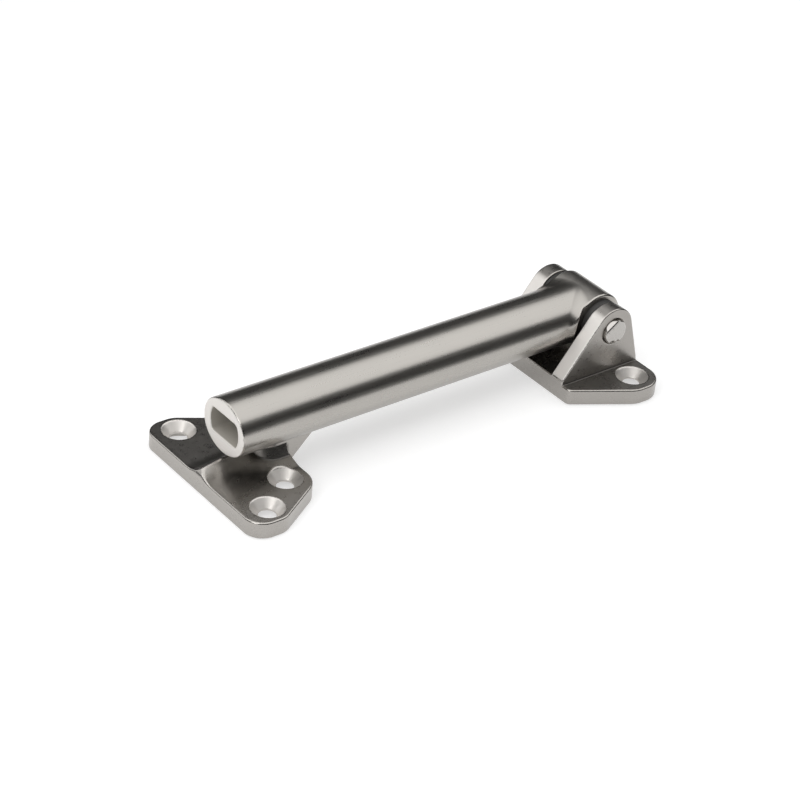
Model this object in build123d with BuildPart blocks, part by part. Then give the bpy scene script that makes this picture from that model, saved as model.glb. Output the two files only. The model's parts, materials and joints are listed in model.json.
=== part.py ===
"""Door restrictor: a hinged hollow arm on a two-eared bracket, running on a screw-on catch plate.

Frame: origin midway between the bracket's two screw holes, on the seating plane. +Z points away
from the seating plane, the arm lies along -X and the pivot axis is parallel to Y. Millimetres.
"""
import os
from math import atan2, degrees

from build123d import *

# Screw holes, shared by the bracket and the catch plate
SCREW_HOLE_D = 5.2
SCREW_HEAD_D = 10.2
COUNTERSINK_ANGLE = 90

# Bracket
BRACKET_SCREW_SPACING = 45.0
BRACKET_BASE_THICK = 5.0
BRACKET_FLOOR_THICK = 6.2
BRACKET_LOBE_R = 7.7
BRACKET_LOBE_STRETCH = 2.0
BRACKET_FRONT_REACH = 23.1
BRACKET_FRONT_WIDTH = 40.4
BRACKET_FRONT_CORNER_R = 2.0
EAR_THICK = 5.1
EAR_TIP_R = 7.5
EAR_FOOT_INSET = 0.4
UNDERSIDE_RIM = 2.6
UNDERSIDE_DEPTH = 2.0
UNDERSIDE_RIB_WIDTH = 6.0

# Pivot
PIVOT_SETBACK = 4.2
PIVOT_HEIGHT = 18.85
PIVOT_PIN_D = 8.0
PIN_END_PROUD = 1.2
PIN_END_ROUND = 0.3
PIN_FLAT_TO_AXIS = 3.2
PIN_FLAT_ANGLE = 130
RIVET_END_D = 9.8
RIVET_END_THICK = 0.9

# Knuckle and its bushes
KNUCKLE_D = 17.6
KNUCKLE_WIDTH = 17.6
KNUCKLE_NECK_LENGTH = 10.0
KNUCKLE_BLEND_LENGTH = 5.0
BUSH_OD = 10.4
BUSH_LENGTH = 7.4
BUSH_FLANGE_D = 14.4
BUSH_FLANGE_THICK = 2.1

# Arm
ARM_REACH = 133.1
ARM_WIDTH = 20.0
ARM_HEIGHT = 17.1
ARM_CROWN_RISE = 0.65
BORE_WIDTH = 13.6
BORE_HEIGHT = 7.5
BORE_END_TO_PIVOT = 26.0
BORE_MOUTH_CHAMFER = 0.5
ARM_END_ROUND = 0.6
ARM_STOP_LAND = 9.1
ENTRY_LENGTH = 13.0
ENTRY_END_TO_PIVOT = 30.0

# Catch plate
CATCH_FRONT_SPACING = 45.0
CATCH_BACK_SPACING = 27.0
CATCH_ROW_PITCH = 12.4
CATCH_ROW_TO_CROSS_PIN = 19.1
CATCH_THICK = 5.1
CATCH_FRONT_MARGIN = 8.5
CATCH_SIDE_MARGIN = 6.8
CATCH_BACK_MARGIN = 7.2
CATCH_BACK_CORNER_R = 8.1
CATCH_BACK_CORNER_SPACING = 28.4
CATCH_CORNER_R = 6.0
SPINE_FOOT_HALF_WIDTH = 7.4
SPINE_FRONT_RISE = 2.0
SPINE_FRONT_FOOT_HALF_WIDTH = 6.5
SPINE_RIDGE_WIDTH = 0.4
SPINE_RIDGE_END_RISE = 3.9
SPINE_BOW_LENGTH = 6.0
SPINE_BOW_RISE = 4.5
SPINE_BOW_WIDTH = 2.8
SPINE_REAR_RISE = 4.6
SPINE_BACK_INSET = 0.9
SPINE_WALL_HEIGHT = 1.0
SPINE_FRONT_WALL_HEIGHT = 0.1
NECK_BOW_LENGTH = 7.0
NECK_THICK = 8.4
NECK_FRONT_REACH = 10.0
NECK_REAR_REACH = 10.0
NECK_REAR_TIP_THICK = 0.8
NECK_ROOT_DEPTH = 1.0
NECK_TIP_BELOW_AXIS = 8.0
NECK_FRONT_TOP_BELOW_AXIS = 5.6
EYE_D = 7.0

# Head inside the bore
CROSS_PIN_D = 4.6
GLIDE_LENGTH = 9.0
GLIDE_WALL_GAP = 0.3
GLIDE_FLAT_GAP = 0.2

# Edges and clearances
PLATE_EDGE_ROUND = 0.6
EAR_EDGE_ROUND = 0.5
KNUCKLE_EDGE_ROUND = 0.6
PRESS_GAP = 0.02
RUNNING_GAP = 0.05
SIDE_PLAY = 0.1
SLOT_SIDE_GAP = 0.4
SLOT_END_GAP = 0.4

# Places worked out from the sizes above
pivot_x = -PIVOT_SETBACK
free_end_x = pivot_x - ARM_REACH
ear_inner_y = KNUCKLE_WIDTH / 2 + BUSH_FLANGE_THICK + SIDE_PLAY
ear_outer_y = ear_inner_y + EAR_THICK
bracket_back_x = BRACKET_LOBE_R
slot_half = NECK_THICK / 2 + SLOT_SIDE_GAP
slot_front_x = free_end_x + ARM_STOP_LAND
cross_pin_x = slot_front_x + SLOT_END_GAP + NECK_FRONT_REACH
entry_back_x = pivot_x - ENTRY_END_TO_PIVOT
entry_front_x = entry_back_x - ENTRY_LENGTH
front_row_x = cross_pin_x - CATCH_ROW_TO_CROSS_PIN
back_row_x = front_row_x + CATCH_ROW_PITCH
catch_front_x = front_row_x - CATCH_FRONT_MARGIN
catch_back_x = back_row_x + CATCH_BACK_MARGIN
neck_front_x = cross_pin_x - NECK_FRONT_REACH
neck_rear_x = cross_pin_x + NECK_REAR_REACH
neck_tip_z = PIVOT_HEIGHT - NECK_TIP_BELOW_AXIS
glide_inner_y = slot_half


def bracket_outline(inset):
    """Hull of the two screw lobes, stretched to the front, and the two front corners, drawn in by inset."""
    corner_x = -BRACKET_FRONT_REACH + BRACKET_FRONT_CORNER_R
    corner_y = BRACKET_FRONT_WIDTH / 2 - BRACKET_FRONT_CORNER_R
    if inset > BRACKET_FRONT_CORNER_R:
        corner_x += inset - BRACKET_FRONT_CORNER_R
        corner_y -= inset - BRACKET_FRONT_CORNER_R
    with Locations((-BRACKET_LOBE_STRETCH / 2, 0)):
        with GridLocations(BRACKET_LOBE_STRETCH, BRACKET_SCREW_SPACING, 2, 2):
            Circle(BRACKET_LOBE_R - inset)
    with Locations((corner_x, corner_y), (corner_x, -corner_y)):
        Circle(max(BRACKET_FRONT_CORNER_R - inset, PLATE_EDGE_ROUND))
    make_hull()


def catch_outline(inset):
    """Hull of the two front screw lobes and the front and back corners, drawn in by inset."""
    half_width = CATCH_FRONT_SPACING / 2 + CATCH_SIDE_MARGIN
    back_x = catch_back_x - CATCH_BACK_CORNER_R
    corner_x = catch_front_x + CATCH_CORNER_R
    corner_y = half_width - CATCH_CORNER_R
    with Locations((front_row_x, CATCH_FRONT_SPACING / 2), (front_row_x, -CATCH_FRONT_SPACING / 2)):
        Circle(CATCH_SIDE_MARGIN - inset)
    with Locations((back_x, CATCH_BACK_CORNER_SPACING / 2), (back_x, -CATCH_BACK_CORNER_SPACING / 2)):
        Circle(CATCH_BACK_CORNER_R - inset)
    with Locations((corner_x, corner_y), (corner_x, -corner_y)):
        Circle(CATCH_CORNER_R - inset)
    make_hull()


def bore_section(wall_gap, flat_gap):
    """Round-sided bore with a flat top and bottom, drawn in by the two gaps."""
    Circle(BORE_WIDTH / 2 - wall_gap)
    Rectangle(BORE_WIDTH, BORE_HEIGHT - 2 * flat_gap, mode=Mode.INTERSECT)


def oval_section():
    """Oval of four tangent arcs: tight at the two sides, flatter over the top and bottom."""
    rise = ARM_HEIGHT / 2
    side_r = rise - ARM_CROWN_RISE
    side_shift = ARM_WIDTH / 2 - side_r
    crown_r = (side_shift**2 + rise**2 - side_r**2) / (2 * ARM_CROWN_RISE)
    crown_drop = crown_r - rise
    crown_half_angle = degrees(atan2(side_shift, crown_drop))
    with BuildLine() as oval:
        CenterArc((0, -crown_drop), crown_r, 90 - crown_half_angle, 2 * crown_half_angle)
        CenterArc((0, crown_drop), crown_r, 270 - crown_half_angle, 2 * crown_half_angle)
        CenterArc((side_shift, 0), side_r, crown_half_angle - 90, 180 - 2 * crown_half_angle)
        CenterArc((-side_shift, 0), side_r, 90 + crown_half_angle, 180 - 2 * crown_half_angle)
    make_face(oval.edges())


def spine_section(half_width, top_half, shoulder, rise):
    """Half-sections mirrored about the arm's plane: hollow flanks up to a wall and a narrow top."""
    flank_dx = half_width - top_half
    flank_r = (flank_dx**2 + shoulder**2) / (2 * shoulder)
    buried = -CATCH_THICK / 2
    with BuildLine() as roof:
        left = RadiusArc((-half_width, 0), (-top_half, shoulder), -flank_r)
        right = RadiusArc((top_half, shoulder), (half_width, 0), -flank_r)
        Polyline(left @ 1, (-top_half, rise), (top_half, rise), right @ 0)
        Polyline(right @ 1, (half_width, buried), (-half_width, buried), left @ 0)
    make_face(roof.edges())


def section_plane(x, height):
    """Plane across the arm at x, with its local X along Y and its local Y along Z."""
    return Plane(origin=(x, 0, height), x_dir=(0, 1, 0), z_dir=(1, 0, 0))


# Bracket: base with two screw lobes, raised floor and a pair of ears
with BuildPart() as hinge_bracket:
    with BuildSketch():
        bracket_outline(0)
    extrude(amount=BRACKET_BASE_THICK)
    with BuildSketch():
        bracket_outline(0)
        Rectangle(4 * BRACKET_FRONT_REACH, 2 * ear_outer_y, mode=Mode.INTERSECT)
    extrude(amount=BRACKET_FLOOR_THICK)
    for ear_plane in (Plane.XZ.offset(ear_inner_y), Plane.XZ.offset(-ear_outer_y)):
        with BuildSketch(ear_plane):
            with Locations((pivot_x, PIVOT_HEIGHT)):
                Circle(EAR_TIP_R)
            ear_foot = BRACKET_FRONT_REACH + bracket_back_x - 2 * EAR_FOOT_INSET
            with Locations(((bracket_back_x - BRACKET_FRONT_REACH) / 2, BRACKET_FLOOR_THICK / 2)):
                Rectangle(ear_foot, BRACKET_FLOOR_THICK)
            make_hull()
        extrude(amount=EAR_THICK)
    base_top = hinge_bracket.edges().filter_by_position(Axis.Z, BRACKET_BASE_THICK, BRACKET_BASE_THICK)
    fillet(base_top.filter_by(lambda edge: abs(edge.center().Y) > ear_outer_y + PRESS_GAP), PLATE_EDGE_ROUND)
    ear_half_z = BRACKET_FLOOR_THICK + EAR_TIP_R / 2
    tip_edges = hinge_bracket.edges().filter_by(lambda edge: edge.center().Z > ear_half_z)
    fillet(tip_edges.filter_by(Axis.Y, reverse=True), EAR_EDGE_ROUND)
    with BuildSketch():
        bracket_outline(UNDERSIDE_RIM)
        Rectangle(4 * BRACKET_FRONT_REACH, UNDERSIDE_RIB_WIDTH, mode=Mode.SUBTRACT)
    extrude(amount=UNDERSIDE_DEPTH, mode=Mode.SUBTRACT)
    with BuildSketch(Plane.XZ):
        with Locations((pivot_x, PIVOT_HEIGHT)):
            Circle(PIVOT_PIN_D / 2 + PRESS_GAP)
    extrude(amount=ear_outer_y, both=True, mode=Mode.SUBTRACT)
    with Locations(Plane.XY.offset(BRACKET_BASE_THICK)):
        with GridLocations(0, BRACKET_SCREW_SPACING, 1, 2):
            CounterSinkHole(SCREW_HOLE_D / 2, SCREW_HEAD_D / 2, counter_sink_angle=COUNTERSINK_ANGLE)
hinge_bracket.part.label = "hinge_bracket"

# Pivot pin: stands proud of the near ear with a struck flat, riveted over at the far ear
with BuildPart() as pivot_pin:
    with BuildSketch(Plane.XZ.offset(-ear_outer_y)):
        with Locations((pivot_x, PIVOT_HEIGHT)):
            Circle(PIVOT_PIN_D / 2)
    extrude(amount=2 * ear_outer_y + PIN_END_PROUD)
    fillet(pivot_pin.faces().sort_by(Axis.Y)[0].edges(), PIN_END_ROUND)
    with BuildSketch(Plane.XZ.offset(ear_outer_y)):
        with Locations((pivot_x, PIVOT_HEIGHT)):
            with PolarLocations(PIN_FLAT_TO_AXIS + PIVOT_PIN_D / 2, 1, PIN_FLAT_ANGLE):
                Rectangle(PIVOT_PIN_D, PIVOT_PIN_D)
    extrude(amount=PIN_END_PROUD, mode=Mode.SUBTRACT)
    with BuildSketch(Plane.XZ.offset(-ear_outer_y - RIVET_END_THICK)):
        with Locations((pivot_x, PIVOT_HEIGHT)):
            Circle(RIVET_END_D / 2)
    extrude(amount=RIVET_END_THICK)
    fillet(pivot_pin.faces().sort_by(Axis.Y)[-1].edges(), RIVET_END_THICK / 2)
pivot_pin.part.label = "pivot_pin"


def knuckle_bush(side):
    """Flanged bush in one end of the knuckle; side is -1 for the near end and +1 for the far end."""
    near_plane = Plane(origin=(pivot_x, side * KNUCKLE_WIDTH / 2, PIVOT_HEIGHT), z_dir=(0, side, 0))
    with BuildPart() as bush:
        with BuildSketch(near_plane):
            Circle(BUSH_FLANGE_D / 2)
        extrude(amount=BUSH_FLANGE_THICK)
        with BuildSketch(near_plane):
            Circle(BUSH_OD / 2)
        extrude(amount=-BUSH_LENGTH)
        with BuildSketch(near_plane.offset(BUSH_FLANGE_THICK)):
            Circle(PIVOT_PIN_D / 2 + RUNNING_GAP)
        extrude(amount=-BUSH_LENGTH - BUSH_FLANGE_THICK, mode=Mode.SUBTRACT)
    return bush.part


# Arm: oval tube that narrows into the knuckle, with the bore, the slot and its wide entry
with BuildPart() as arm:
    with BuildSketch(section_plane(free_end_x, PIVOT_HEIGHT)):
        oval_section()
    extrude(amount=ARM_REACH)
    fillet(arm.faces().sort_by(Axis.X)[0].edges(), ARM_END_ROUND)
    with BuildSketch(Plane.XZ):
        with Locations((pivot_x, PIVOT_HEIGHT)):
            Circle(KNUCKLE_D / 2)
    extrude(amount=ARM_WIDTH / 2, both=True)
    with BuildSketch(Plane.XY.offset(PIVOT_HEIGHT)):
        with BuildLine():
            side_y = KNUCKLE_WIDTH / 2
            blend_x = pivot_x - KNUCKLE_NECK_LENGTH
            wide_y = ARM_WIDTH / 2 + SLOT_SIDE_GAP
            blend = Spline(
                (blend_x - KNUCKLE_BLEND_LENGTH, wide_y),
                (blend_x, side_y),
                tangents=((1, 0), (1, 0)),
            )
            far_x = pivot_x + KNUCKLE_D
            Polyline(
                blend @ 1,
                (far_x, side_y),
                (far_x, ARM_WIDTH),
                (blend_x - KNUCKLE_BLEND_LENGTH, ARM_WIDTH),
                blend @ 0,
            )
        make_face()
        mirror(about=Plane.XZ)
    extrude(amount=KNUCKLE_D, both=True, mode=Mode.SUBTRACT)
    knuckle_ends = arm.faces().filter_by(Plane.XZ)
    fillet(knuckle_ends.edges().filter_by(GeomType.CIRCLE), KNUCKLE_EDGE_ROUND)
    with BuildSketch(section_plane(free_end_x, PIVOT_HEIGHT)):
        bore_section(0, 0)
    extrude(amount=ARM_REACH - BORE_END_TO_PIVOT, mode=Mode.SUBTRACT)
    mouth = arm.faces().sort_by(Axis.X)[0].inner_wires()[0]
    chamfer(mouth.edges(), BORE_MOUTH_CHAMFER)
    with BuildSketch(Plane.XY.offset(PIVOT_HEIGHT)):
        with Locations(((slot_front_x + entry_back_x) / 2, 0)):
            Rectangle(entry_back_x - slot_front_x, 2 * slot_half)
        with Locations(((entry_front_x + entry_back_x) / 2, 0)):
            Rectangle(ENTRY_LENGTH, BORE_WIDTH)
    extrude(amount=-ARM_HEIGHT, mode=Mode.SUBTRACT)
    with BuildSketch(Plane.XZ):
        with Locations((pivot_x, PIVOT_HEIGHT)):
            Circle(BUSH_OD / 2 + PRESS_GAP)
    extrude(amount=KNUCKLE_WIDTH, both=True, mode=Mode.SUBTRACT)
arm.part.label = "arm"

# Neck: leans back at 45 degrees, rounded at its front and closed round the cross pin at its top
neck_full_x = neck_front_x + NECK_BOW_LENGTH
neck_root_x = catch_back_x - NECK_ROOT_DEPTH
with BuildPart() as neck:
    with BuildSketch(Plane.XZ):
        with Locations((cross_pin_x, PIVOT_HEIGHT)):
            Circle(EYE_D / 2)
        with BuildLine():
            Polyline(
                (neck_front_x, CATCH_THICK),
                (neck_front_x, PIVOT_HEIGHT - NECK_FRONT_TOP_BELOW_AXIS),
                (neck_rear_x, neck_tip_z + NECK_REAR_TIP_THICK),
                (neck_rear_x, neck_tip_z),
                (neck_root_x, neck_tip_z - neck_rear_x + neck_root_x),
                close=True,
            )
        make_face()
        make_hull()
    extrude(amount=NECK_THICK / 2, both=True)
    with BuildSketch():
        with Locations((neck_full_x, 0)):
            Ellipse(NECK_BOW_LENGTH, NECK_THICK / 2)
        with Locations(((neck_full_x + neck_rear_x) / 2, 0)):
            Rectangle(neck_rear_x - neck_full_x, NECK_THICK)
    extrude(amount=PIVOT_HEIGHT + EYE_D, mode=Mode.INTERSECT)

# Catch plate: screw plate with a ridged spine that widens into the neck
with BuildPart() as catch_plate:
    with BuildSketch():
        catch_outline(0)
    extrude(amount=CATCH_THICK)
    fillet(catch_plate.faces().sort_by(Axis.Z)[-1].edges(), PLATE_EDGE_ROUND)
    front_shoulder = SPINE_FRONT_RISE - SPINE_FRONT_WALL_HEIGHT
    ridge_shoulder = SPINE_RIDGE_END_RISE - SPINE_FRONT_WALL_HEIGHT
    bow_shoulder = SPINE_BOW_RISE - SPINE_WALL_HEIGHT
    rear_shoulder = SPINE_REAR_RISE - SPINE_WALL_HEIGHT
    with BuildSketch(section_plane(catch_front_x + PLATE_EDGE_ROUND, CATCH_THICK)):
        spine_section(SPINE_FRONT_FOOT_HALF_WIDTH, SPINE_RIDGE_WIDTH / 2, front_shoulder, SPINE_FRONT_RISE)
    with BuildSketch(section_plane(neck_front_x - SPINE_BOW_LENGTH, CATCH_THICK)):
        spine_section(SPINE_FOOT_HALF_WIDTH, SPINE_RIDGE_WIDTH / 2, ridge_shoulder, SPINE_RIDGE_END_RISE)
    with BuildSketch(section_plane(neck_front_x, CATCH_THICK)):
        spine_section(SPINE_FOOT_HALF_WIDTH, SPINE_BOW_WIDTH / 2, bow_shoulder, SPINE_BOW_RISE)
    with BuildSketch(section_plane(neck_full_x, CATCH_THICK)):
        spine_section(SPINE_FOOT_HALF_WIDTH, NECK_THICK / 2, rear_shoulder, SPINE_REAR_RISE)
    loft(ruled=True)
    with BuildSketch(section_plane(neck_full_x, CATCH_THICK)):
        spine_section(SPINE_FOOT_HALF_WIDTH, NECK_THICK / 2, rear_shoulder, SPINE_REAR_RISE)
    extrude(amount=catch_back_x - SPINE_BACK_INSET - neck_full_x)
    add(neck.part)
    with BuildSketch(Plane.XZ):
        with Locations((cross_pin_x, PIVOT_HEIGHT)):
            Circle(CROSS_PIN_D / 2 + PRESS_GAP)
    extrude(amount=NECK_THICK, both=True, mode=Mode.SUBTRACT)
    with BuildSketch():
        catch_outline(UNDERSIDE_RIM)
        Rectangle(4 * ARM_REACH, UNDERSIDE_RIB_WIDTH, mode=Mode.SUBTRACT)
    extrude(amount=UNDERSIDE_DEPTH, mode=Mode.SUBTRACT)
    with Locations(Plane.XY.offset(CATCH_THICK)):
        with Locations(
            (front_row_x, CATCH_FRONT_SPACING / 2),
            (front_row_x, -CATCH_FRONT_SPACING / 2),
            (back_row_x, CATCH_BACK_SPACING / 2),
            (back_row_x, -CATCH_BACK_SPACING / 2),
        ):
            CounterSinkHole(SCREW_HOLE_D / 2, SCREW_HEAD_D / 2, counter_sink_angle=COUNTERSINK_ANGLE)
catch_plate.part.label = "catch_plate"

# Cross pin: pressed through the neck's eye, turning in the two glides
cross_pin_half = BORE_WIDTH / 2 - 2 * GLIDE_WALL_GAP
with BuildPart() as cross_pin:
    with BuildSketch(Plane.XZ):
        with Locations((cross_pin_x, PIVOT_HEIGHT)):
            Circle(CROSS_PIN_D / 2)
    extrude(amount=cross_pin_half, both=True)
cross_pin.part.label = "cross_pin"


def glide(side):
    """Sliding shoe on one end of the cross pin; side is -1 for the near end and +1 for the far end."""
    with BuildPart() as shoe:
        with BuildSketch(section_plane(cross_pin_x, PIVOT_HEIGHT)):
            bore_section(GLIDE_WALL_GAP, GLIDE_FLAT_GAP)
            with Locations((side * (glide_inner_y + BORE_WIDTH / 2), 0)):
                Rectangle(BORE_WIDTH, BORE_HEIGHT, mode=Mode.INTERSECT)
        extrude(amount=GLIDE_LENGTH / 2, both=True)
        with BuildSketch(Plane.XZ):
            with Locations((cross_pin_x, PIVOT_HEIGHT)):
                Circle(CROSS_PIN_D / 2 + RUNNING_GAP)
        extrude(amount=BORE_WIDTH, both=True, mode=Mode.SUBTRACT)
    return shoe.part


os.makedirs("parts", exist_ok=True)
export_step(hinge_bracket.part, "parts/hinge_bracket.step")
export_step(pivot_pin.part, "parts/pivot_pin.step")
export_step(arm.part, "parts/arm.step")
export_step(catch_plate.part, "parts/catch_plate.step")
export_step(cross_pin.part, "parts/cross_pin.step")
for side_name, side_sign in (("near", -1), ("far", 1)):
    bush_part = knuckle_bush(side_sign)
    bush_part.label = f"knuckle_bush_{side_name}"
    export_step(bush_part, f"parts/{bush_part.label}.step")
    glide_part = glide(side_sign)
    glide_part.label = f"glide_{side_name}"
    export_step(glide_part, f"parts/{glide_part.label}.step")
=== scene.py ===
"""Looks of the door restrictor: satin cast stainless steel with a hinged tubular arm and a catch plate.

Shape functions work in millimetres in the part's frame; Blender objects are in metres.
"""
import json
import math

import bmesh
import bpy
import numpy as np
from mathutils import Matrix, Vector


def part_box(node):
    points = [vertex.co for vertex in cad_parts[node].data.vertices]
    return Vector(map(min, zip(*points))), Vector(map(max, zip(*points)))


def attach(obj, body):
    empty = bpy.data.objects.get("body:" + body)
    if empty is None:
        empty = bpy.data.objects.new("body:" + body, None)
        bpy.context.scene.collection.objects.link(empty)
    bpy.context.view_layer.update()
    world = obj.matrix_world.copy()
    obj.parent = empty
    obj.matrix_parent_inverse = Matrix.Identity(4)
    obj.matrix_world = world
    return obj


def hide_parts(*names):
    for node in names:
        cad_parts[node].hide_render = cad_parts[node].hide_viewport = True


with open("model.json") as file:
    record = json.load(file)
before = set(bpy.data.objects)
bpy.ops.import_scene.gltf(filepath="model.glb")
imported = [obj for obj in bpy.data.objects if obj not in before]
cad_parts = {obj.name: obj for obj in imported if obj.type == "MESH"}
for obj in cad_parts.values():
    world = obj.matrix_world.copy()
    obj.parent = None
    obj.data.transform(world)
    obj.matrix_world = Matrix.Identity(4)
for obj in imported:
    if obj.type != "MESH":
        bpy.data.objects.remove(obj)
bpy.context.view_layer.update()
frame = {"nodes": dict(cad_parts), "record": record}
MM = 0.001

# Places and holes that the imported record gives
joints = {joint["name"]: joint for joint in frame["record"]["behaviour"]["joints"]}
mounts = {mount["name"]: mount for mount in frame["record"]["mounts"]}
PIVOT_X = joints["arm_swing"]["pos_m"][0] / MM
PIVOT_Z = joints["arm_swing"]["pos_m"][2] / MM
CROSS_PIN_X = joints["plate_tilt"]["pos_m"][0] / MM
FREE_END_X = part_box("arm")[0][0] / MM
CATCH_FRONT_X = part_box("catch_plate")[0][0] / MM
SCREW_HOLE_R = mounts["bracket_screws"]["dims"]["hole_r_mm"]
SCREW_HEAD_R = 5.1
CONE_CLEAR = 0.4
CATCH_BACK_CONE_CLEAR = 1.5
HOLE_RIM = 0.2


def screw_places(name):
    """x of a row of screws, and how far each of the two stands from the middle plane."""
    return mounts[name]["pos_m"][0] / MM, mounts[name]["dims"]["spacing_y_mm"] / 2


BRACKET_SCREW = screw_places("bracket_screws")
CATCH_FRONT_SCREW = screw_places("catch_front_screws")
CATCH_BACK_SCREW = screw_places("catch_back_screws")

# Bracket
BRACKET_TOP = 5.0
BRACKET_FLOOR_TOP = 6.2
BRACKET_LOBE_R = 7.7
BRACKET_LOBE_STRETCH = 2.0
BRACKET_CORNER = (-21.1, 18.2, 2.0)
EAR_INNER_Y = 11.0
EAR_OUTER_Y = 16.1
EAR_TIP_R = 7.5
EAR_FRONT_FOOT_X = -28.05
EAR_BACK_FOOT_X = 9.27
EAR_HOLE_BEVEL = 0.45
EAR_HOLE_RIM = 0.1
EAR_EDGE = 0.4
EAR_FOOT_FILLET = 0.5
EAR_TIP_FADE = 3.0
BRACKET_FLOOR_EDGE = 0.3
BRACKET_LOBE_FILLET = 0.2

# Pivot pin
PIN_R = 4.0
PIN_PROUD = 1.2
PIN_FACET_TO_AXIS = 3.2
PIN_FACET_ANGLE = math.radians(125)
PIN_FACET_TILT = math.radians(30)
PIN_FACET_EDGE = 0.1
PIN_EDGE = 0.3
PIN_GROOVE_INSET = 0.35
PIN_GROOVE_R = 0.4
PIN_PUNCH_PLACE = (1.1, -3.6)
PIN_PUNCH_R = 0.75
PIN_DENT_PLACE = (-1.2, -4.4)
PIN_DENT_LIFT = 1.0
PIN_DENT_R = 2.0
RIVET_R = 4.9
RIVET_THICK = 0.9
RIVET_EDGE = 0.4
RIVET_STEP = 0.1

# Arm
TUBE_HALF_WIDTH = 10.0
TUBE_HALF_HEIGHT = 8.55
TUBE_CROWN_RISE = 0.65
TUBE_END_EDGE = 0.6
KNUCKLE_R = 8.8
KNUCKLE_HALF_WIDTH = 8.8
KNUCKLE_FILLET = 5.0
KNUCKLE_LEAST_FILLET = 0.05
KNUCKLE_EDGE = 0.7
KNUCKLE_SIDE_ROOM = 0.4
KNUCKLE_RECESS_R = 10.4
KNUCKLE_RECESS_BLEND = 1.3
BUSH_SEAT_R = 5.22
BUSH_SEAT_RIM = 0.3
BUSH_EDGE = 0.2
BUSH_PIN_GAP = 0.05
BUSH_FLANGE_R = 7.2
BUSH_FLANGE_END = 10.9
BUSH_INNER_END = 1.4
BORE_R = 6.8
BORE_HALF_HEIGHT = 3.75
BORE_END_X = -30.2
BORE_BEVEL = 0.45
BORE_CORNER = 0.5
SLOT_HALF = 4.6
SLOT_FRONT_X = -128.2
ENTRY_FRONT_X = -47.2
ENTRY_BACK_X = -34.2

# Catch plate
CATCH_TOP = 5.1
CATCH_BACK_CORNER = (-125.4, 14.2, 8.1)
CATCH_FRONT_CORNER = (-139.4, 23.3, 6.0)
CATCH_LOBE_R = 6.8
RIDGE_FRONT_RISE = 2.0
RIDGE_SLOPE = 0.18
RIDGE_TOP_RISE = 3.6
RIDGE_FOOT = (7.4, 10.5)
RIDGE_CURL = (2.6, 1.3)
RIDGE_HALF_WIDTH = (0.2, 0.6)
RIDGE_WIDENS = (-137.0, -120.8)
RIDGE_EDGE = 0.3
NOSE_RISE = 0.4
NOSE_SLOPE = 1.15
NOSE_EDGE = 0.5
NECK_HALF_WIDTH = 4.2
NECK_BOW_LENGTH = 7.0
NECK_FILLET = 0.2
NECK_BATTER = 0.58
NECK_BATTER_TOP = 9.6
NECK_BATTER_FADE = 0.8
NECK_EDGE = 0.4
NECK_HEEL = (-108.2, 11.25, 0.4)
NECK_SHOULDER = (-127.2, 12.65, 0.6)
NECK_FRONT_FOOT = (-127.3, 5.1, 0.5)
NECK_BACK_FOOT = (-118.3, 0.6, 0.2)
EYE_R = 3.5
CROSS_PIN_R = 2.3
CROSS_PIN_HALF = 6.2
CROSS_PIN_EDGE = 0.4
CROSS_PIN_CENTRE_R = 0.02

# Undersides and edges
UNDERSIDE_RIM = 2.6
UNDERSIDE_DEPTH = 2.0
RIB_HALF_WIDTH = 3.0
UNDERSIDE_CORNER = 0.4
PLATE_EDGE = 0.55
FINE_EDGE = 0.25
FIT_GAP = 0.02

# How near a point has to be to count as on a machined or raw face
ON_FACE = 0.12
ON_FACET = 0.08
ON_HOLE_WALL = 0.15
BELOW_TOP = 0.05
ON_BORE_WALL = 0.25
ON_BORE_END = 0.3
BORE_BEVEL_REACH = 0.8
COUNTERSINK_SHINE = 0.55

# Meshes: boxes that hold the castings, and spacing of the net
BRACKET_BOX = ((-23.1, -30.2, 0), (7.7, 30.2, 26.4))
BRACKET_PITCH = 0.29
PIN_BOX = ((-9.1, -17.3, 13.9), (0.7, 17.0, 23.8))
PIN_PITCH = 0.17
CATCH_BOX = ((-145.4, -29.3, 0), (-107.8, 29.3, 22.4))
CATCH_PITCH = 0.27
ARM_STRETCHES = ((-137.9, -127.0, 0.24), (-127.0, -48.6, 0.9), (-48.6, -46.0, 0.3), (-46.0, -35.6, 0.9),
                 (-35.6, -29.0, 0.3), (-29.0, -21.0, 0.5), (-21.0, 5.2, 0.3))
ARM_SIDES = (-10.6, 10.6, 0.3)
ARM_HEIGHTS = (9.45, 28.25, 0.3)
SLOPE_STEP = 0.01
NORMAL_STEP = 0.03
EDGE_REACH = 0.35
EDGE_GAIN = 0.45
TURN_SEGMENTS = 96
TURN_PATH_R = 1.0
TURN_SHARP_ANGLE = math.radians(40)

# Finishes: colours and shares of the steel
GROUND_STEEL = (0.80, 0.77, 0.735, 1.0)
RAW_STEEL = (0.46, 0.435, 0.39, 1.0)
DARK_SHARE = 0.86
LIGHT_SHARE = 1.12
# painted shade: concave corners are darkened to this share of the steel's tone
CORNER_PAINTED_SHADE_SHARE = 0.4

# Studio, in metres
FLOOR_HALF = 0.42
FLOOR_PLACE = (-0.07, 0, -0.0002)
SOFT_BOXES = (("overhead", (0.10, -0.0225, 0.55), (0.10, -0.0225, 0.0), (1.5, 0.815), 5.71),
              ("left_key", (-0.65, -0.19, 0.43), (-0.05, 0.0, 0.02), (0.30, 0.30), 1.1),
              ("left_window", (-0.41, 0.464, 0.40), (-0.015, 0.0, 0.02), (0.45, 0.50), 0.85))
CAMERA_PLACE = (-0.47854, -0.47376, 0.40500)
CAMERA_AIM = (-0.07819, -0.00566, 0.012)
CAMERA_ROLL = math.radians(5.61)
CAMERA_LENS = 111.9
CAMERA_SENSOR = 36


# Shapes as signed distances: negative inside the metal

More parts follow.
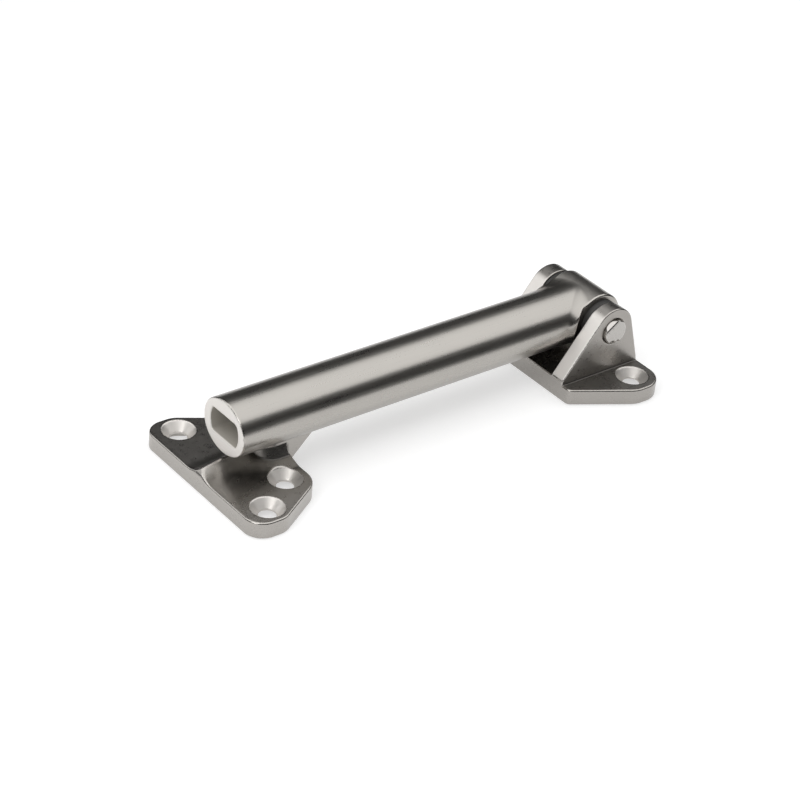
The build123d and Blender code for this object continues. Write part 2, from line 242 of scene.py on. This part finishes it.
def both(a, b, r):
    """Intersection, with its outer edge rounded to radius r."""
    return np.minimum(-r, np.maximum(a, b)) + np.hypot(np.maximum(a + r, 0), np.maximum(b + r, 0))


def either(a, b, r):
    """Union, with its inner corner filled to radius r."""
    return np.maximum(r, np.minimum(a, b)) - np.hypot(np.maximum(r - a, 0), np.maximum(r - b, 0))


def without(a, b, r):
    """a with b cut out of it, the cut's rim rounded to radius r."""
    return both(a, -b, r)


def between(v, low, high):
    """Distance to a slab."""
    return np.abs(v - (low + high) / 2) - (high - low) / 2


def ease(v):
    """Smooth step from 0 to 1."""
    v = np.clip(v, 0, 1)
    return v * v * (3 - 2 * v)


def band(u, v, rounds):
    """Distance to a taut band round circles (u, v, radius), listed anticlockwise."""
    normals = []
    for here, after in zip(rounds, rounds[1:] + rounds[:1]):
        run_u, run_v = after[0] - here[0], after[1] - here[1]
        length = math.hypot(run_u, run_v)
        lean = (here[2] - after[2]) / length
        side = math.sqrt(1 - lean * lean)
        normals.append(((run_u * lean + run_v * side) / length, (run_v * lean - run_u * side) / length))
    distance = np.full(np.broadcast(u, v).shape, -np.inf)
    for i, (cu, cv, r) in enumerate(rounds):
        du, dv = u - cu, v - cv
        (nu, nv), (pu, pv) = normals[i], normals[i - 1]
        distance = np.maximum(distance, du * nu + dv * nv - r)
        at_corner = (pu * dv - pv * du >= 0) & (du * nv - dv * nu >= 0)
        distance = np.where(at_corner, np.maximum(distance, np.hypot(du, dv) - r), distance)
    return distance


def mirrored(rounds):
    """Circles of one half (y above 0), from the back edge to the front edge, with their mirror images."""
    return rounds + [(u, -v, r) for u, v, r in reversed(rounds)]


def screw_hole(x, y, z, place, top, clear):
    """Countersunk hole and its mirror image; its 90 degree cone ends at clear above the top."""
    r = np.hypot(x - place[0], np.abs(y) - place[1])
    cone = np.maximum((r - SCREW_HEAD_R - (z - top)) * math.sqrt(0.5), z - top - clear)
    return np.minimum(r - SCREW_HOLE_R, cone)


def hollowed(casting, outline, y, z):
    """Casting with the two recesses of its underside, one each side of a middle rib."""
    recess = np.maximum(outline + UNDERSIDE_RIM, RIB_HALF_WIDTH - np.abs(y))
    return without(casting, both(recess, z - UNDERSIDE_DEPTH, UNDERSIDE_CORNER), FINE_EDGE)


def bracket_shape(x, y, z):
    """Cast base with two screw lobes, a raised floor and a pair of ears."""
    lobe_x, lobe_y = BRACKET_SCREW
    stretched = (lobe_x - BRACKET_LOBE_STRETCH, lobe_y, BRACKET_LOBE_R)
    outline = band(x, y, mirrored([(lobe_x, lobe_y, BRACKET_LOBE_R), stretched, BRACKET_CORNER]))
    tip = (PIVOT_X, PIVOT_Z, EAR_TIP_R)
    profile = band(x, z, [(EAR_BACK_FOOT_X, 0, 0), tip, (EAR_FRONT_FOOT_X, 0, 0)])
    ears = both(profile, between(np.abs(y), EAR_INNER_Y, EAR_OUTER_Y), EAR_EDGE)
    floor_side = np.abs(y) - (EAR_INNER_Y + EAR_OUTER_Y) / 2
    floor = both(z - BRACKET_FLOOR_TOP, floor_side, BRACKET_FLOOR_EDGE)
    upper = either(z - BRACKET_TOP, either(floor, ears, EAR_FOOT_FILLET), BRACKET_LOBE_FILLET)
    metal = both(both(outline, upper, PLATE_EDGE), -z, FINE_EDGE)
    metal = hollowed(metal, outline, y, z)
    bevel = np.clip(np.abs(y) - EAR_OUTER_Y + EAR_HOLE_BEVEL, 0, EAR_HOLE_BEVEL)
    pin_hole = np.hypot(x - PIVOT_X, z - PIVOT_Z) - PIN_R - FIT_GAP - bevel
    metal = without(metal, pin_hole, EAR_HOLE_RIM)
    return without(metal, screw_hole(x, y, z, BRACKET_SCREW, BRACKET_TOP, CONE_CLEAR), HOLE_RIM)


def oval(y, z):
    """Tube section of four tangent arcs: tight at the two sides, flatter over the top and bottom."""
    side_r = TUBE_HALF_HEIGHT - TUBE_CROWN_RISE
    side_shift = TUBE_HALF_WIDTH - side_r
    crown_r = (side_shift**2 + TUBE_HALF_HEIGHT**2 - side_r**2) / (2 * TUBE_CROWN_RISE)
    crown_drop = crown_r - TUBE_HALF_HEIGHT
    y, z = np.abs(y), np.abs(z)
    on_crown = y * crown_drop <= side_shift * (z + crown_drop)
    return np.where(on_crown, np.hypot(y, z + crown_drop) - crown_r, np.hypot(y - side_shift, z) - side_r)


def arm_shape(x, y, z):
    """Oval tube running into its knuckle, with the flat-sided bore, the slot below and its wide entry.

    Its sides keep the tube's width up to a round recess for the bush flanges.
    """
    height = z - PIVOT_Z
    reach = x - PIVOT_X
    from_pivot = np.hypot(reach, height)
    tube = np.maximum(both(oval(y, height), FREE_END_X - x, TUBE_END_EDGE), reach)
    barrel = from_pivot - KNUCKLE_R
    alike = height**2 / (from_pivot * np.hypot(y, height) + 0.001)
    metal = either(tube, barrel, KNUCKLE_FILLET * (1 - alike) + KNUCKLE_LEAST_FILLET)
    taper = ease((KNUCKLE_RECESS_R - from_pivot) / KNUCKLE_RECESS_BLEND)
    side = TUBE_HALF_WIDTH + KNUCKLE_SIDE_ROOM
    metal = both(metal, np.abs(y) - (side + (KNUCKLE_HALF_WIDTH - side) * taper), KNUCKLE_EDGE)
    flare = np.maximum(0, BORE_BEVEL - (x - FREE_END_X))
    bore = both(np.hypot(y, height) - BORE_R, np.abs(height) - BORE_HALF_HEIGHT, BORE_CORNER) - flare
    bore = np.maximum(bore, x - BORE_END_X)
    below = np.maximum(x - ENTRY_BACK_X, height)
    slot = np.maximum(np.maximum(np.abs(y) - SLOT_HALF, SLOT_FRONT_X - x), below)
    entry = np.maximum(np.maximum(np.abs(y) - BORE_R, ENTRY_FRONT_X - x), below)
    metal = without(metal, np.minimum(bore, np.minimum(slot, entry)), FINE_EDGE)
    return without(metal, from_pivot - BUSH_SEAT_R, BUSH_SEAT_RIM)


def ridged_top(x, y, z):
    """Plate top with a sharp ridge that climbs under the arm; its flanks are hollow, its nose sloped."""
    climb = RIDGE_FRONT_RISE + RIDGE_SLOPE * (x - CATCH_FRONT_X)
    rise = np.clip(climb, RIDGE_FRONT_RISE, RIDGE_TOP_RISE)
    start, end = RIDGE_WIDENS
    widened = ease((x - start) / (end - start))
    crest = RIDGE_HALF_WIDTH[0] + (RIDGE_HALF_WIDTH[1] - RIDGE_HALF_WIDTH[0]) * widened
    foot = RIDGE_FOOT[0] + (RIDGE_FOOT[1] - RIDGE_FOOT[0]) * widened
    curl = RIDGE_CURL[0] + (RIDGE_CURL[1] - RIDGE_CURL[0]) * widened
    flank = foot - crest
    share = np.clip((foot - np.abs(y)) / flank, 0.0001, 1)
    slope = rise / flank * curl * share ** (curl - 1)
    lift = rise * share ** curl + slope * np.maximum(crest - np.abs(y), 0)
    top = both((z - CATCH_TOP - lift) / np.hypot(1, slope), z - CATCH_TOP - rise, RIDGE_EDGE)
    nose = z - CATCH_TOP - NOSE_RISE - NOSE_SLOPE * (x - CATCH_FRONT_X)
    return both(top, nose / math.hypot(1, NOSE_SLOPE), NOSE_EDGE)


def catch_shape(x, y, z):
    """Screw plate with a ridge, a leaning neck with battered sides, and the eye of the cross pin."""
    lobe = CATCH_FRONT_SCREW + (CATCH_LOBE_R,)
    outline = band(x, y, mirrored([CATCH_BACK_CORNER, lobe, CATCH_FRONT_CORNER]))
    plate = both(outline, ridged_top(x, y, z), PLATE_EDGE)
    eye = (CROSS_PIN_X, PIVOT_Z, EYE_R)
    neck_profile = band(x, z, [NECK_HEEL, eye, NECK_SHOULDER, NECK_FRONT_FOOT, NECK_BACK_FOOT])
    plate_back = CATCH_BACK_CORNER[0] + CATCH_BACK_CORNER[2]
    on_plate = ease((plate_back - x) / NECK_BATTER_FADE)
    batter = NECK_BATTER * np.maximum(NECK_BATTER_TOP - z, 0) * on_plate
    half_width = NECK_HALF_WIDTH + batter
    bow = np.maximum(RIDGE_WIDENS[1] - x, 0) / NECK_BOW_LENGTH
    neck_plan = half_width * (np.hypot(bow, y / half_width) - 1) / math.hypot(1, NECK_BATTER)
    metal = either(plate, both(neck_profile, neck_plan, NECK_EDGE), NECK_FILLET)
    metal = hollowed(both(metal, -z, FINE_EDGE), outline, y, z)
    metal = without(metal, np.hypot(x - CROSS_PIN_X, z - PIVOT_Z) - CROSS_PIN_R - FIT_GAP, HOLE_RIM)
    for place, clear in ((CATCH_FRONT_SCREW, CONE_CLEAR), (CATCH_BACK_SCREW, CATCH_BACK_CONE_CLEAR)):
        metal = without(metal, screw_hole(x, y, z, place, CATCH_TOP, clear), HOLE_RIM)
    return metal


def inside_facet_edge(x, z):
    """Distance across the pin's end from the edge of its facet, towards the axis."""
    across = (x - PIVOT_X) * math.cos(PIN_FACET_ANGLE) + (z - PIVOT_Z) * math.sin(PIN_FACET_ANGLE)
    return PIN_FACET_TO_AXIS - across


def off_facet(x, y, z):
    """Distance inside the sloping facet that is struck on the pin's near end."""
    depth = y + EAR_OUTER_Y + PIN_PROUD
    return inside_facet_edge(x, z) * math.cos(PIN_FACET_TILT) + depth * math.sin(PIN_FACET_TILT)


def pivot_pin_shape(x, y, z):
    """Pin that stands proud of the near ear, struck and punched there, and is riveted at the far ear."""
    dx, dz = x - PIVOT_X, z - PIVOT_Z
    r = np.hypot(dx, dz)
    near_end = -EAR_OUTER_Y - PIN_PROUD
    far_end = EAR_OUTER_Y + RIVET_THICK
    shank = both(r - PIN_R, between(y, near_end, far_end - RIVET_STEP), PIN_EDGE)
    rivet = both(r - RIVET_R, between(y, EAR_OUTER_Y, far_end), RIVET_EDGE)
    metal = both(np.minimum(shank, rivet), -off_facet(x, y, z), PIN_FACET_EDGE)
    above_end = y - near_end
    groove = np.hypot(inside_facet_edge(x, z) - PIN_GROOVE_INSET, above_end) - PIN_GROOVE_R
    punch_x, punch_z = PIN_PUNCH_PLACE
    punch = np.hypot(np.hypot(dx - punch_x, dz - punch_z), above_end) - PIN_PUNCH_R
    dent_x, dent_z = PIN_DENT_PLACE
    dent = np.hypot(np.hypot(dx - dent_x, dz - dent_z), above_end + PIN_DENT_LIFT) - PIN_DENT_R
    for mark, rim in ((groove, 0.08), (punch, 0.1), (dent, 0.2)):
        metal = without(metal, mark, rim)
    return metal


def in_countersink(x, y, z, place, top):
    """Machined wall of a screw hole, half as bright as a linished face."""
    wall = np.maximum(SCREW_HOLE_R, SCREW_HEAD_R + z - top)
    off_wall = np.abs(np.hypot(x - place[0], np.abs(y) - place[1]) - wall)
    return COUNTERSINK_SHINE * ((off_wall < ON_HOLE_WALL) & (z < top - BELOW_TOP))


def bracket_ground(x, y, z):
    """Countersinks, and the linished front faces of the ears, which fade out over the tips."""
    run, climb = PIVOT_X - EAR_FRONT_FOOT_X, PIVOT_Z
    lean = math.atan2(climb, run) + math.asin(EAR_TIP_R / math.hypot(run, climb))
    off_front = (x - EAR_FRONT_FOOT_X) * math.sin(lean) - z * math.cos(lean)
    off_tip = EAR_TIP_R - np.hypot(x - PIVOT_X, z - PIVOT_Z)
    past_tip = (x - PIVOT_X) * math.cos(lean) + (z - PIVOT_Z) * math.sin(lean)
    on_face = np.abs(np.where(past_tip < 0, off_front, off_tip)) < ON_FACE
    on_ear = on_face & (x < PIVOT_X) & (np.abs(y) > EAR_INNER_Y) & (z > BRACKET_FLOOR_TOP)
    holes = in_countersink(x, y, z, BRACKET_SCREW, BRACKET_TOP)
    return np.maximum(on_ear * (1 - ease(past_tip / EAR_TIP_FADE)), holes)


def catch_ground(x, y, z):
    """Countersinks."""
    front = in_countersink(x, y, z, CATCH_FRONT_SCREW, CATCH_TOP)
    return np.maximum(front, in_countersink(x, y, z, CATCH_BACK_SCREW, CATCH_TOP))


def arm_ground(x, y, z):
    """Faced free end and the bevel of the bore."""
    inside = np.hypot(y, z - PIVOT_Z) < BORE_R + BORE_BEVEL_REACH
    return x < FREE_END_X + np.where(inside, BORE_BEVEL, ON_FACE)


def pin_ground(x, y, z):
    """Struck facet."""
    return (np.abs(off_facet(x, y, z)) < ON_FACET) & (y < -EAR_OUTER_Y)


def arm_raw(x, y, z):
    """Walls of the bore, left as cast."""
    height = z - PIVOT_Z
    deep = (x > FREE_END_X + BORE_BEVEL) & (x < BORE_END_X + ON_BORE_END)
    in_round = np.hypot(y, height) < BORE_R + ON_BORE_WALL
    return deep & in_round & (np.abs(height) < BORE_HALF_HEIGHT + ON_BORE_WALL)


def nowhere(x, y, z):
    """No place at all."""
    return np.zeros(np.shape(x), bool)


def slopes(shape, points, step):
    """Gradient of a shape at points."""
    columns = []
    for axis in range(3):
        ahead, behind = points.copy(), points.copy()
        ahead[:, axis] += step
        behind[:, axis] -= step
        columns.append((shape(*ahead.T) - shape(*behind.T)) / (2 * step))
    return np.stack(columns, 1)


def settle(shape, points, pitch):
    """Moves points onto the shape's surface."""
    for _ in range(4):
        slope = slopes(shape, points, SLOPE_STEP)
        steep = np.maximum((slope * slope).sum(1), 0.2)
        move = np.clip(shape(*points.T) / steep, -pitch, pitch)
        points = points - slope * move[:, None]
    return points


def lines(*stretches):
    """Grid places along one axis, from stretches (from, to, spacing) that follow one another."""
    runs = [np.linspace(a, b, round((b - a) / gap), endpoint=False) for a, b, gap in stretches]
    return np.concatenate(runs + [[stretches[-1][1]]])


def even_grid(box, pitch):
    """Evenly spaced grid round a box."""
    return [lines((a - 2 * pitch, b + 2 * pitch, pitch)) for a, b in zip(*box)]


def net(shape, grid):
    """Points and quads of a net laid over the shape's surface, on three lists of grid places."""
    field = shape(*np.meshgrid(*grid, indexing="ij"))
    solid = field < 0
    cells = [n - 1 for n in field.shape]

    def corner(values, offset):
        """Values at one of the eight corners of every cell."""
        return values[tuple(slice(o, o + n) for o, n in zip(offset, cells))]

    corners = [(i, j, k) for i in (0, 1) for j in (0, 1) for k in (0, 1)]
    filled = sum(corner(solid, c).astype(np.int8) for c in corners)
    mixed = (filled > 0) & (filled < 8)
    index = np.full(cells, -1)
    index[mixed] = np.arange(mixed.sum())
    where = np.argwhere(mixed).astype(float)
    total, hits = np.zeros_like(where), np.zeros(len(where))
    for start in corners:
        for axis in range(3):
            if start[axis]:
                continue
            end = tuple(1 if a == axis else s for a, s in enumerate(start))
            fa, fb = corner(field, start)[mixed], corner(field, end)[mixed]
            crossed = (fa < 0) != (fb < 0)
            spot = where[crossed] + start
            spot[:, axis] += fa[crossed] / (fa - fb)[crossed]
            total[crossed] += spot
            hits[crossed] += 1
    spots = total / hits[:, None]
    points = np.stack([np.interp(spots[:, a], np.arange(len(g)), g) for a, g in enumerate(grid)], 1)
    quads = []
    for axis in range(3):
        one, two = (axis + 1) % 3, (axis + 2) % 3
        inner = [slice(1, -1)] * 3
        inner[axis] = slice(0, -1)
        outer = list(inner)
        outer[axis] = slice(1, None)
        first, second = solid[tuple(inner)], solid[tuple(outer)]
        edges = np.argwhere(first != second)
        leaves = first[first != second]
        edges[:, [one, two]] += 1
        ring = []
        for s, t in ((-1, -1), (0, -1), (0, 0), (-1, 0)):
            cell = edges.copy()
            cell[:, one] += s
            cell[:, two] += t
            ring.append(index[tuple(cell.T)])
        ring = np.stack(ring, 1)
        quads.append(np.where(leaves[:, None], ring, ring[:, ::-1]))
    return points, np.concatenate(quads)


def in_scene(name, data):
    """New object of a mesh, light or camera, put in the scene."""
    thing = bpy.data.objects.new(name, data)
    bpy.context.scene.collection.objects.link(thing)
    return thing


def cast(name, shape, grid, ground, raw=nowhere):
    """Mesh object of a shape: a net drawn tight on its surface, with exact normals.

    Its points know how sharp the edge is there, and whether the surface is ground or raw.
    """
    pitch = grid[1][1] - grid[1][0]
    points, quads = net(shape, grid)
    points = settle(shape, points, pitch)
    ends = np.stack([quads, np.roll(quads, -1, 1)], 2).reshape(-1, 2)
    count = np.bincount(ends[:, 0], minlength=len(points))[:, None]
    for _ in range(3):
        near = points[ends[:, 1]]
        around = np.stack([np.bincount(ends[:, 0], along, len(points)) for along in near.T], 1)
        points = settle(shape, 0.5 * points + 0.5 * around / count, pitch)
    mesh = bpy.data.meshes.new(name)
    mesh.from_pydata((points * MM).tolist(), [], quads.tolist())
    mesh.shade_smooth()
    normals = slopes(shape, points, NORMAL_STEP)
    normals /= np.linalg.norm(normals, axis=1)[:, None]
    mesh.normals_split_custom_set_from_vertices(normals.tolist())
    bend = -6 * shape(*points.T)
    for axis in range(3):
        for shift in (-EDGE_REACH, EDGE_REACH):
            beside = points.copy()
            beside[:, axis] += shift
            bend = bend + shape(*beside.T)
    edge = np.clip(bend / EDGE_REACH**2 * EDGE_GAIN, -1, 1)
    for trait, values in (("edge", edge), ("ground", ground(*points.T)), ("raw", raw(*points.T))):
        column = mesh.attributes.new(trait, "FLOAT", "POINT")
        column.data.foreach_set("value", values.astype(np.float32))
    return in_scene(name, mesh)


# Shader tools

class Wire:
    """A shader socket that takes part in Python sums; each operation adds its Math node."""

    def __init__(self, finish, socket):
        self.finish = finish
        self.socket = socket

    def math(self, operation, first, second):
        return self.finish.add("ShaderNodeMath", {"operation": operation}, {0: first, 1: second})

    def __add__(self, other):
        return self.math("ADD", self, other)

    def __sub__(self, other):
        return self.math("SUBTRACT", self, other)

    def __rsub__(self, other):
        return self.math("SUBTRACT", other, self)

    def __mul__(self, other):
        return self.math("MULTIPLY", self, other)

    def above(self, other):
        return self.math("MAXIMUM", self, other)

    def below(self, other):
        return self.math("MINIMUM", self, other)

    __radd__ = __add__
    __rmul__ = __mul__


class Finish:
    """A material and the nodes that make it."""

    def __init__(self, name):
        self.material = bpy.data.materials.new(name)
        self.material.use_nodes = True
        self.tree = self.material.node_tree
        self.shader = self.tree.nodes["Principled BSDF"]

    def add(self, kind, settings=None, sockets=None, output=0):
        """Adds a node: its settings first, then the values or links of its sockets. Gives one output."""
        node = self.tree.nodes.new(kind)
        for key, value in (settings or {}).items():
            setattr(node, key, value)
        self.fill(node, sockets or {})
        return Wire(self, node.outputs[output])

    def fill(self, node, sockets):
        """Sets or links a node's sockets."""
        for key, value in sockets.items():
            if isinstance(value, Wire):
                self.tree.links.new(value.socket, node.inputs[key])
            else:
                node.inputs[key].default_value = value

    def blend(self, factor, first, second):
        """Colour mix; first and second are colours or wires."""
        return self.add("ShaderNodeMix", {"data_type": "RGBA"}, {0: factor, 6: first, 7: second}, 2)


def shaded(tone, share):
    """Colour of a tone, darker or lighter."""
    return [c * share for c in tone] + [1.0]


def satin_steel(name, tone, roughness, line_scale, line_share):
    """Warm stainless steel: grain, polish lines, bright edges, painted shade in the concave corners,
    ground and raw places.
    """
    finish = Finish(name)
    place = finish.add("ShaderNodeTexCoord", output="Object")
    drawn = finish.add("ShaderNodeMapping", sockets={"Vector": place, "Scale": line_scale})
    streak = finish.add("ShaderNodeTexNoise",
                        sockets={"Vector": drawn, "Scale": 1.0, "Detail": 4.0, "Roughness": 0.65})
    grain = finish.add("ShaderNodeTexNoise", sockets={"Vector": place, "Scale": 3200.0, "Detail": 2.0})
    cloud = finish.add("ShaderNodeTexNoise", sockets={"Vector": place, "Scale": 75.0, "Detail": 3.0})
    edge, ground, raw = (finish.add("ShaderNodeAttribute", {"attribute_name": trait}, output="Fac")
                         for trait in ("edge", "ground", "raw"))
    worn = edge.above(0.0)
    # painted shade: concave corners, where edge is below 0, darken the colour towards a much darker copy
    # of the tone
    corner = (edge * -1.0).above(0.0)
    shade = (cloud - 0.5) * 0.3 + (streak - 0.5) * line_share + worn * 0.45 - corner * 0.5 + 0.5
    shade = shade.above(0.0).below(1.0)
    colour = finish.blend(shade, shaded(tone, DARK_SHARE), shaded(tone, LIGHT_SHARE))
    colour = finish.blend(corner, colour, shaded(tone, CORNER_PAINTED_SHADE_SHARE))
    colour = finish.blend(ground, colour, GROUND_STEEL)
    colour = finish.blend(raw, colour, RAW_STEEL)
    rough = (cloud - 0.5) * 0.05 + (streak - 0.5) * 0.14 + (grain - 0.5) * 0.06
    rough = rough - worn * 0.06 + corner * 0.12 + ground * 0.14 + raw * 0.4 + roughness
    bump = finish.add("ShaderNodeBump", sockets={"Height": streak * line_share + grain * 0.2,
                                                 "Strength": 0.14, "Distance": 0.00002})
    finish.fill(finish.shader, {"Base Color": colour, "Metallic": 1.0 - ground * 0.6 - raw * 0.9,
                                "Roughness": rough.above(0.08).below(0.9), "Normal": bump})
    return finish.material


def moulded_plastic(name, tone):
    """Matt black moulding with a fine spark texture."""
    finish = Finish(name)
    place = finish.add("ShaderNodeTexCoord", output="Object")
    spark = finish.add("ShaderNodeTexNoise", sockets={"Vector": place, "Scale": 2600.0, "Detail": 2.0})
    patch = finish.add("ShaderNodeTexNoise", sockets={"Vector": place, "Scale": 200.0, "Detail": 2.0})
    colour = finish.blend(patch, shaded(tone, 0.8), shaded(tone, 1.25))
    bump = finish.add("ShaderNodeBump", sockets={"Height": spark, "Strength": 0.3, "Distance": 0.00003})
    rough = (spark - 0.5) * 0.2 + 0.55
    finish.fill(finish.shader, {"Base Color": colour, "Roughness": rough, "Normal": bump})
    return finish.material


DRAWN_ALONG = (60.0, 1600.0, 1600.0)
BLASTED = (500.0, 500.0, 900.0)
TURNED = (700.0, 700.0, 700.0)
arm_steel = satin_steel("arm_satin_steel", (0.40, 0.383, 0.358), 0.30, DRAWN_ALONG, 0.45)
bracket_steel = satin_steel("bracket_satin_steel", (0.355, 0.338, 0.318), 0.29, BLASTED, 0.25)
catch_steel = satin_steel("catch_satin_steel", (0.39, 0.372, 0.350), 0.29, BLASTED, 0.25)
pin_steel = satin_steel("pin_turned_steel", (0.46, 0.445, 0.425), 0.26, TURNED, 0.25)
black_plastic = moulded_plastic("bush_black_plastic", (0.028, 0.027, 0.026))


# Turned pieces: a profile spun round an axis parallel to Y, by one node tree

def turned_tree():
    """Node tree that spins the object's own profile outline round its local Z axis."""
    tree = bpy.data.node_groups.new("turned_piece", "GeometryNodeTree")
    inputs = (("Geometry", "Geometry"), ("Segments", "Int"), ("Edge Round", "Float"),
              ("Path Radius", "Float"), ("Finish", "Material"))
    for label, kind in inputs:
        tree.interface.new_socket(label, in_out="INPUT", socket_type="NodeSocket" + kind)
    tree.interface.new_socket("Geometry", in_out="OUTPUT", socket_type="NodeSocketGeometry")
    nodes = tree.nodes
    given, result = nodes.new("NodeGroupInput"), nodes.new("NodeGroupOutput")
    outline = nodes.new("GeometryNodeMeshToCurve")
    rounded = nodes.new("GeometryNodeFilletCurve")
    rounded.mode = "POLY"
    rounded.inputs["Count"].default_value = 4
    rounded.inputs["Limit Radius"].default_value = True
    path = nodes.new("GeometryNodeCurvePrimitiveCircle")
    spun = nodes.new("GeometryNodeCurveToMesh")
    real = nodes.new("GeometryNodeRealizeInstances")
    painted = nodes.new("GeometryNodeSetMaterial")
    for source, output, target, socket in (
            (given, "Geometry", outline, "Mesh"), (outline, "Curve", rounded, "Curve"),
            (given, "Edge Round", rounded, "Radius"), (given, "Segments", path, "Resolution"),
            (given, "Path Radius", path, "Radius"), (path, "Curve", spun, "Curve"),
            (rounded, "Curve", spun, "Profile Curve"), (spun, "Mesh", real, "Geometry"),
            (real, "Geometry", painted, "Geometry"), (given, "Finish", painted, "Material"),
            (painted, "Geometry", result, "Geometry")):
        tree.links.new(source.outputs[output], target.inputs[socket])
    return tree


def turned(name, tree, profile, edge_round, axis_x, material):
    """Piece spun from profile points (radius, y) about the line x = axis_x at pivot height."""
    outline = bpy.data.meshes.new(name + "_profile")
    corners = [((r - TURN_PATH_R) * MM, along * MM, 0) for r, along in profile]
    outline.from_pydata(corners, [(i, (i + 1) % len(corners)) for i in range(len(corners))], [])
    blank = in_scene(name + "_profile", outline)
    spin = blank.modifiers.new("spin", "NODES")
    spin.node_group = tree
    sockets = {s.name: s.identifier for s in tree.interface.items_tree if s.in_out == "INPUT"}
    spin[sockets["Segments"]] = TURN_SEGMENTS
    spin[sockets["Edge Round"]] = edge_round * MM
    spin[sockets["Path Radius"]] = TURN_PATH_R * MM
    spin[sockets["Finish"]] = material
    depsgraph = bpy.context.evaluated_depsgraph_get()
    mesh = bpy.data.meshes.new_from_object(blank.evaluated_get(depsgraph))
    bpy.data.objects.remove(blank)
    mesh.name = name
    on_axis = Matrix.Translation((axis_x * MM, 0, PIVOT_Z * MM))
    mesh.transform(on_axis @ Matrix.Rotation(math.radians(-90), 4, "X"))
    shell = bmesh.new()
    shell.from_mesh(mesh)
    bmesh.ops.remove_doubles(shell, verts=shell.verts, dist=1e-7)
    bmesh.ops.recalc_face_normals(shell, faces=shell.faces)
    shell.to_mesh(mesh)
    shell.free()
    mesh.shade_smooth()
    mesh.set_sharp_from_angle(angle=TURN_SHARP_ANGLE)
    return in_scene(name, mesh)


def set_down(piece, material, body, node):
    """Gives a piece its finish and its body, and hides the CAD node that it stands for."""
    piece.data.materials.clear()
    piece.data.materials.append(material)
    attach(piece, body)
    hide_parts(node)


bracket = cast("bracket_casting", bracket_shape, even_grid(BRACKET_BOX, BRACKET_PITCH), bracket_ground)
set_down(bracket, bracket_steel, "bracket", "hinge_bracket")
pin = cast("struck_pivot_pin", pivot_pin_shape, even_grid(PIN_BOX, PIN_PITCH), pin_ground)
set_down(pin, pin_steel, "bracket", "pivot_pin")
arm_grid = [lines(*ARM_STRETCHES), lines(ARM_SIDES), lines(ARM_HEIGHTS)]
arm = cast("arm_casting", arm_shape, arm_grid, arm_ground, arm_raw)
set_down(arm, arm_steel, "arm", "arm")
catch = cast("catch_casting", catch_shape, even_grid(CATCH_BOX, CATCH_PITCH), catch_ground)
set_down(catch, catch_steel, "catch", "catch_plate")

turning = turned_tree()
inner_r, seat_r = PIN_R + BUSH_PIN_GAP, BUSH_SEAT_R - FIT_GAP
bush_profile = [(inner_r, BUSH_FLANGE_END), (BUSH_FLANGE_R, BUSH_FLANGE_END),
                (BUSH_FLANGE_R, KNUCKLE_HALF_WIDTH), (seat_r, KNUCKLE_HALF_WIDTH),
                (seat_r, BUSH_INNER_END), (inner_r, BUSH_INNER_END)]
for side, sign in (("near", -1), ("far", 1)):
    profile = [(r, sign * along) for r, along in bush_profile]
    bush = turned("bush_" + side, turning, profile, BUSH_EDGE, PIVOT_X, black_plastic)
    set_down(bush, black_plastic, "arm", "knuckle_bush_" + side)
rod_profile = [(CROSS_PIN_CENTRE_R, -CROSS_PIN_HALF), (CROSS_PIN_R, -CROSS_PIN_HALF),
               (CROSS_PIN_R, CROSS_PIN_HALF), (CROSS_PIN_CENTRE_R, CROSS_PIN_HALF)]
rod = turned("glide_rod", turning, rod_profile, CROSS_PIN_EDGE, CROSS_PIN_X, pin_steel)
set_down(rod, pin_steel, "catch", "cross_pin")
for side in ("near", "far"):
    glide = frame["nodes"]["glide_" + side]
    glide.data.materials.clear()
    glide.data.materials.append(black_plastic)


# Studio: pale floor, soft boxes, camera at the photograph's angle

def floor_finish():
    """Pale, even surface."""
    finish = Finish("pale_floor")
    finish.fill(finish.shader, {"Base Color": (0.6, 0.6, 0.6, 1), "Roughness": 0.9,
                                "Emission Color": (1, 1, 1, 1), "Emission Strength": 0.52})
    return finish.material


def floor_piece(half):
    """Square floor just under the seating plane."""
    mesh = bpy.data.meshes.new("floor")
    corners = [(-half, -half, 0), (half, -half, 0), (half, half, 0), (-half, half, 0)]
    mesh.from_pydata(corners, [], [(0, 1, 2, 3)])
    mesh.transform(Matrix.Translation(FLOOR_PLACE))
    mesh.materials.append(floor_finish())
    floor = in_scene("floor", mesh)


def soft_box(name, place, aim, size, watts):
    """Rectangular studio light."""
    light = bpy.data.lights.new(name, "AREA")
    light.shape = "RECTANGLE"
    light.size, light.size_y = size
    light.energy = watts
    lamp = in_scene(name, light)
    lamp.location = place
    lamp.rotation_euler = (Vector(aim) - Vector(place)).to_track_quat("-Z", "Y").to_euler()


floor_piece(FLOOR_HALF)
for box in SOFT_BOXES:
    soft_box(*box)

world = bpy.data.worlds.new("studio")
world.use_nodes = True
world.node_tree.nodes["Background"].inputs["Color"].default_value = (0.03, 0.03, 0.03, 1)
bpy.context.scene.world = world
bpy.context.scene.view_settings.view_transform = "Standard"

lens = bpy.data.cameras.new("photo_camera")
lens.sensor_width = CAMERA_SENSOR
lens.lens = CAMERA_LENS
camera = in_scene("photo_camera", lens)
camera.location = CAMERA_PLACE
camera.rotation_mode = "QUATERNION"
sight = (Vector(CAMERA_AIM) - Vector(CAMERA_PLACE)).to_track_quat("-Z", "Y")
camera.rotation_quaternion = sight @ Matrix.Rotation(CAMERA_ROLL, 3, "Z").to_quaternion()
bpy.context.scene.camera = camera
